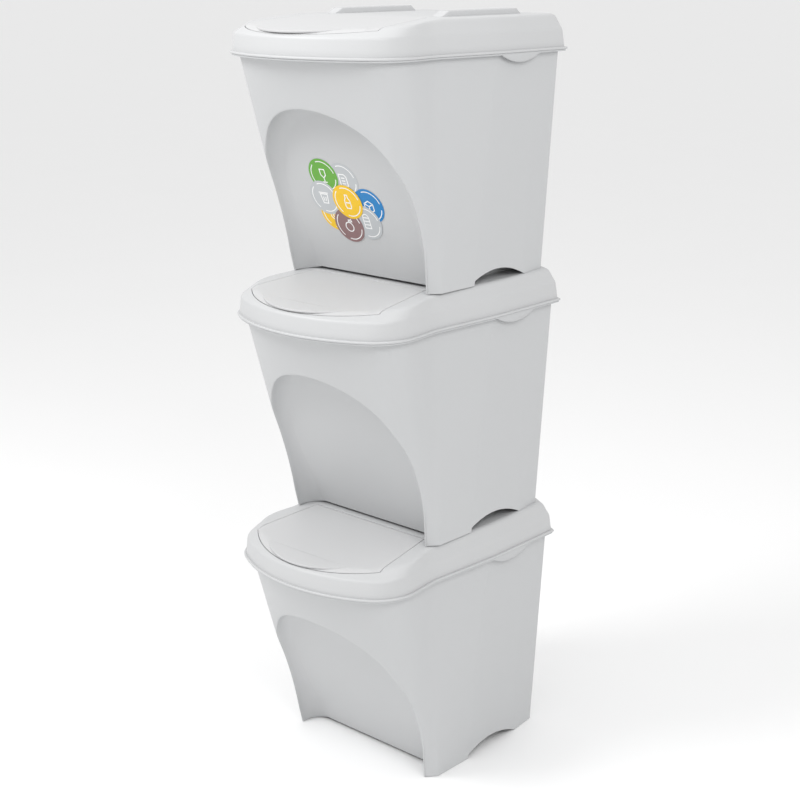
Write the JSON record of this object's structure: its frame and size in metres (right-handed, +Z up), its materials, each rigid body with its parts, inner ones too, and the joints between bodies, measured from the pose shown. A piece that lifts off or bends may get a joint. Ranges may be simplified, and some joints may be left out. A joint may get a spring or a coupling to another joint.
{
  "type": "recycling bin station",
  "caption": "Stack of household sorting bins, each with a lift-off lid, a hinged front flap, an arched recess in the front wall and round sorting labels on the top one.",
  "frame": {"origin": "on the ground, in the middle of the lids' outline", "axes": "+Z up, -Y towards the flaps, +X to the right-hand side seen from the back"},
  "size_m": [0.282, 0.392, 0.991],
  "materials": {
    "bin_plastic": "fine-grained matt moulding",
    "lid_plastic": "fine-grained matt moulding",
    "flap_plastic": "fine-grained matt moulding",
    "label_green": "printed film",
    "label_yellow": "printed film",
    "label_blue": "printed film",
    "label_brown": "printed film",
    "label_grey": "printed film"
  },
  "bodies": {
    "bottom_bin": {"bottom_bin": "bin_plastic"},
    "bottom_lid": {"bottom_lid": "lid_plastic"},
    "bottom_flap": {"bottom_flap": "flap_plastic"},
    "middle_bin": {"middle_bin": "bin_plastic"},
    "middle_lid": {"middle_lid": "lid_plastic"},
    "middle_flap": {"middle_flap": "flap_plastic"},
    "top_bin": {"top_bin": "bin_plastic", "label_paper": "label_grey", "label_glass": "label_green", "label_card": "label_blue", "label_metal": "label_grey", "label_foil": "label_yellow", "label_mixed": "label_grey", "label_compost": "label_brown", "label_plastic": "label_yellow"},
    "top_lid": {"top_lid": "lid_plastic"},
    "top_flap": {"top_flap": "flap_plastic"}
  },
  "joints": [
    {"name": "bottom_lid_lift", "type": "slide", "parent": "bottom_bin", "child": "bottom_lid", "axis": [0, 0, 1], "range_m": [0, 0.06]},
    {"name": "bottom_flap_swing", "type": "hinge", "parent": "bottom_lid", "child": "bottom_flap", "pos_m": [0, -0.049, 0.3232], "axis": [-1, 0, 0], "range_deg": [0, 60]},
    {"name": "middle_bin_lift", "type": "slide", "parent": "bottom_lid", "child": "middle_bin", "axis": [0, 0, 1], "range_m": [0, 0.06]},
    {"name": "middle_lid_lift", "type": "slide", "parent": "middle_bin", "child": "middle_lid", "axis": [0, 0, 1], "range_m": [0, 0.06]},
    {"name": "middle_flap_swing", "type": "hinge", "parent": "middle_lid", "child": "middle_flap", "pos_m": [0, -0.049, 0.6512], "axis": [-1, 0, 0], "range_deg": [0, 60]},
    {"name": "top_bin_lift", "type": "slide", "parent": "middle_lid", "child": "top_bin", "axis": [0, 0, 1], "range_m": [0, 0.06]},
    {"name": "top_lid_lift", "type": "slide", "parent": "top_bin", "child": "top_lid", "axis": [0, 0, 1], "range_m": [0, 0.06]},
    {"name": "top_flap_swing", "type": "hinge", "parent": "top_lid", "child": "top_flap", "pos_m": [0, -0.049, 0.9792], "axis": [-1, 0, 0], "range_deg": [0, 80]}
  ]
}
